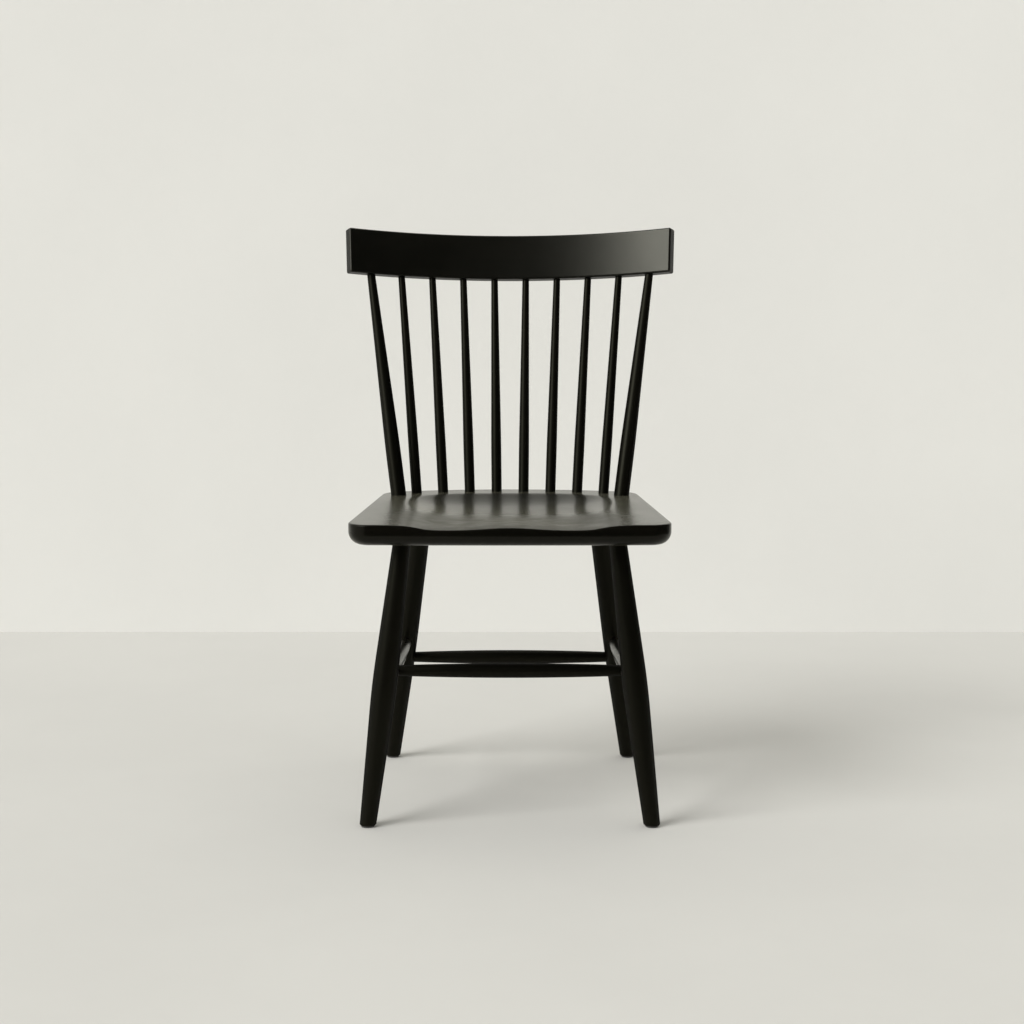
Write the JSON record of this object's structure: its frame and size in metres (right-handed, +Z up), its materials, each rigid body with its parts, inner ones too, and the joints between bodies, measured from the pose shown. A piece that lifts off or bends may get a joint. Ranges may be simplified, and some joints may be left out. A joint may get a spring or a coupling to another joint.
{
  "type": "spindle-back side chair",
  "caption": "Armless wooden side chair with a saddled plank seat, slender turned spindles under a curved crest rail, splayed turned legs and H stretchers, in satin black lacquer.",
  "frame": {"origin": "on the floor, under the middle of the chair's overall width and depth", "axes": "+Z up, -Y the way the sitter faces, +X to the right in a view from the front"},
  "size_m": [0.5328, 0.5086, 0.8769],
  "materials": {
    "black_lacquer": "satin black lacquer over close-grained hardwood",
    "glide_plastic": "matt dark nylon"
  },
  "bodies": {
    "root": {"seat": "black_lacquer", "crest_rail": "black_lacquer", "left_back_post": "black_lacquer", "right_back_post": "black_lacquer", "spindle_1": "black_lacquer", "spindle_2": "black_lacquer", "spindle_3": "black_lacquer", "spindle_4": "black_lacquer", "spindle_5": "black_lacquer", "spindle_6": "black_lacquer", "spindle_7": "black_lacquer", "spindle_8": "black_lacquer", "front_left_leg": "black_lacquer", "front_right_leg": "black_lacquer", "rear_left_leg": "black_lacquer", "rear_right_leg": "black_lacquer", "left_side_stretcher": "black_lacquer", "right_side_stretcher": "black_lacquer", "center_stretcher": "black_lacquer", "rear_stretcher": "black_lacquer", "front_left_glide": "glide_plastic", "front_right_glide": "glide_plastic", "rear_left_glide": "glide_plastic", "rear_right_glide": "glide_plastic"}
  },
  "joints": []
}
